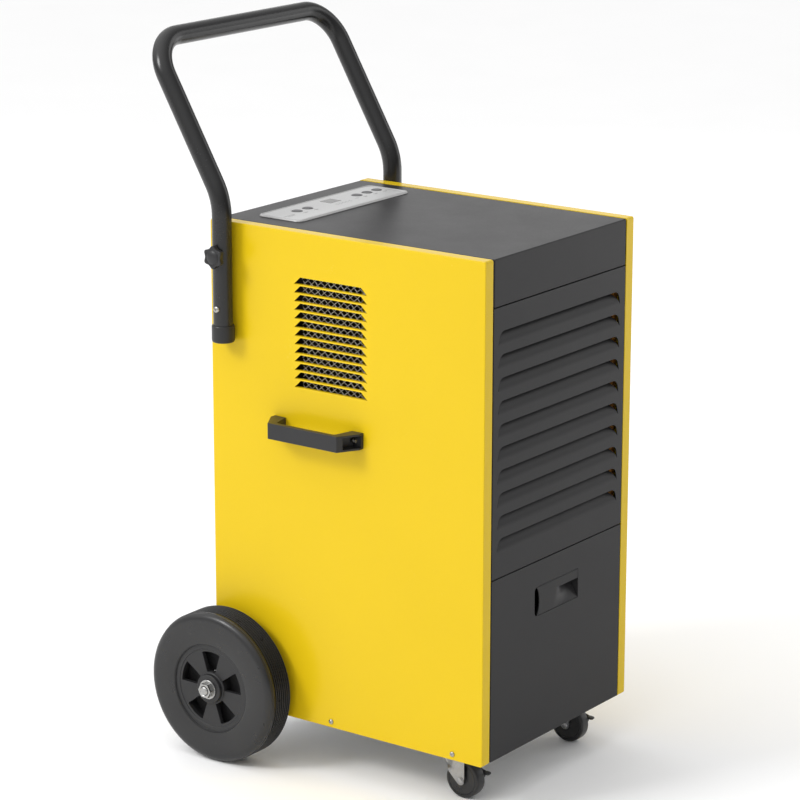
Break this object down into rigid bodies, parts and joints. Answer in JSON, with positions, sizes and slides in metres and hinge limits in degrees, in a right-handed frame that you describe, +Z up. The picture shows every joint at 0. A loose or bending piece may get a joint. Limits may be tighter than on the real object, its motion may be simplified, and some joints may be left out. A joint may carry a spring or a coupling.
{
  "type": "commercial dehumidifier",
  "caption": "Upright wheeled dehumidifier with yellow sheet side panels, louvred dark front, slide-out water tank, fold-forward tube handle, large rear wheels and braked front casters.",
  "frame": {"origin": "on the floor under the middle of the object's box", "axes": "+Z up; the louvred front and the water tank face -Y; the left side panel faces -X"},
  "size_m": [0.473, 0.5225, 0.9542],
  "materials": {
    "yellow_panel": "satin powder coat",
    "dark_panel": "fine texture powder coat",
    "tube": "satin powder coat",
    "black_plastic": "moulded, fine grain",
    "tyre": "solid rubber",
    "wheel_hub": "moulded nylon",
    "zinc": "bright zinc plate",
    "galvanised": "galvanised sheet",
    "bezel": "silver, satin",
    "display": "smoked lens",
    "button": "moulded",
    "fins": "plain",
    "copper": "drawn copper",
    "enamel": "black enamel",
    "filter": "washable filter",
    "board": "circuit board",
    "tank": "translucent polypropylene",
    "mesh": "galvanised wire"
  },
  "bodies": {
    "cabinet": {"base_pan": "galvanised", "side_panel_left": "yellow_panel", "side_panel_right": "yellow_panel", "top_cover": "dark_panel", "louvre_panel": "dark_panel", "rear_panel": "dark_panel", "power_inlet_gland": "black_plastic", "air_filter": "filter", "evaporator_coil": "fins", "condenser_coil": "fins", "fan_shroud": "galvanised", "fan_motor": "enamel", "drip_tray": "black_plastic", "drain_spout": "black_plastic", "tank_bay_partition": "galvanised", "compressor": "enamel", "discharge_pipe": "copper", "suction_pipe": "copper", "control_bezel": "bezel", "display_window": "display", "control_board": "board", "side_grip_left": "black_plastic", "side_grip_right": "black_plastic", "vent_mesh_left": "mesh", "vent_mesh_right": "mesh", "panel_screw_left_front": "zinc", "panel_screw_left_rear": "zinc", "panel_screw_right_front": "zinc", "panel_screw_right_rear": "zinc", "pivot_screw_left": "zinc", "pivot_screw_right": "zinc", "wheel_axle": "zinc", "axle_nut_left": "zinc", "axle_nut_right": "zinc", "caster_plate_left": "zinc", "caster_plate_right": "zinc"},
    "handle": {"handle_tube": "tube", "handle_end_cap_left": "black_plastic", "handle_end_cap_right": "black_plastic"},
    "knob_left": {"star_knob_left": "black_plastic"},
    "knob_right": {"star_knob_right": "black_plastic"},
    "wheel_left": {"tyre_left": "tyre", "wheel_hub_left": "wheel_hub"},
    "wheel_right": {"tyre_right": "tyre", "wheel_hub_right": "wheel_hub"},
    "caster_left": {"caster_fork_left": "zinc"},
    "caster_right": {"caster_fork_right": "zinc"},
    "caster_roller_left": {"caster_wheel_left": "tyre"},
    "caster_roller_right": {"caster_wheel_right": "tyre"},
    "brake_left": {"brake_pedal_left": "black_plastic"},
    "brake_right": {"brake_pedal_right": "black_plastic"},
    "fan": {"fan_rotor": "black_plastic"},
    "tank": {"tank_bucket": "tank", "tank_front": "dark_panel"},
    "float": {"tank_float": "tank"},
    "key_1": {"button_1": "button"},
    "key_2": {"button_2": "button"},
    "key_3": {"button_3": "button"},
    "key_4": {"button_4": "button"},
    "key_5": {"button_5": "button"}
  },
  "joints": [
    {"name": "handle_fold", "type": "hinge", "parent": "cabinet", "child": "handle", "pos_m": [0, 0.136, 0.607], "axis": [1, 0, 0], "range_deg": [0, 80]},
    {"name": "star_knob_left_turn", "type": "hinge", "parent": "handle", "child": "knob_left", "pos_m": [-0.2, 0.136, 0.676], "axis": [1, 0, 0], "continuous": true},
    {"name": "wheel_left_spin", "type": "hinge", "parent": "cabinet", "child": "wheel_left", "pos_m": [-0.201, 0.1345, 0.1016], "axis": [1, 0, 0], "continuous": true},
    {"name": "caster_left_swivel", "type": "hinge", "parent": "cabinet", "child": "caster_left", "pos_m": [-0.1218, -0.1829, 0.058], "axis": [0, 0, 1], "continuous": true},
    {"name": "caster_left_roll", "type": "hinge", "parent": "caster_left", "child": "caster_roller_left", "pos_m": [-0.1218, -0.2049, 0.025], "axis": [1, 0, 0], "continuous": true},
    {"name": "brake_left_press", "type": "hinge", "parent": "caster_left", "child": "brake_left", "pos_m": [-0.1075, -0.2075, 0.0405], "axis": [1, 0, 0], "range_deg": [0, 8]},
    {"name": "star_knob_right_turn", "type": "hinge", "parent": "handle", "child": "knob_right", "pos_m": [0.2, 0.136, 0.676], "axis": [1, 0, 0], "continuous": true},
    {"name": "wheel_right_spin", "type": "hinge", "parent": "cabinet", "child": "wheel_right", "pos_m": [0.201, 0.1345, 0.1016], "axis": [1, 0, 0], "continuous": true},
    {"name": "caster_right_swivel", "type": "hinge", "parent": "cabinet", "child": "caster_right", "pos_m": [0.1218, -0.1829, 0.058], "axis": [0, 0, 1], "continuous": true},
    {"name": "caster_right_roll", "type": "hinge", "parent": "caster_right", "child": "caster_roller_right", "pos_m": [0.1218, -0.2049, 0.025], "axis": [1, 0, 0], "continuous": true},
    {"name": "brake_right_press", "type": "hinge", "parent": "caster_right", "child": "brake_right", "pos_m": [0.1361, -0.2075, 0.0405], "axis": [1, 0, 0], "range_deg": [0, 8]},
    {"name": "fan_spin", "type": "hinge", "parent": "cabinet", "child": "fan", "pos_m": [0, -0.1075, 0.48], "axis": [0, 1, 0], "continuous": true},
    {"name": "tank_slide", "type": "slide", "parent": "cabinet", "child": "tank", "axis": [0, -1, 0], "range_m": [0, 0.27]},
    {"name": "float_swing", "type": "hinge", "parent": "tank", "child": "float", "pos_m": [0.082, -0.002, 0.258], "axis": [-1, 0, 0], "range_deg": [0, 15]},
    {"name": "button_1_press", "type": "slide", "parent": "cabinet", "child": "key_1", "axis": [0, 0, -1], "range_m": [0, 0.001], "stiffness_N_per_m": 400},
    {"name": "button_2_press", "type": "slide", "parent": "cabinet", "child": "key_2", "axis": [0, 0, -1], "range_m": [0, 0.001], "stiffness_N_per_m": 400},
    {"name": "button_3_press", "type": "slide", "parent": "cabinet", "child": "key_3", "axis": [0, 0, -1], "range_m": [0, 0.001], "stiffness_N_per_m": 400},
    {"name": "button_4_press", "type": "slide", "parent": "cabinet", "child": "key_4", "axis": [0, 0, -1], "range_m": [0, 0.001], "stiffness_N_per_m": 400},
    {"name": "button_5_press", "type": "slide", "parent": "cabinet", "child": "key_5", "axis": [0, 0, -1], "range_m": [0, 0.001], "stiffness_N_per_m": 400}
  ]
}
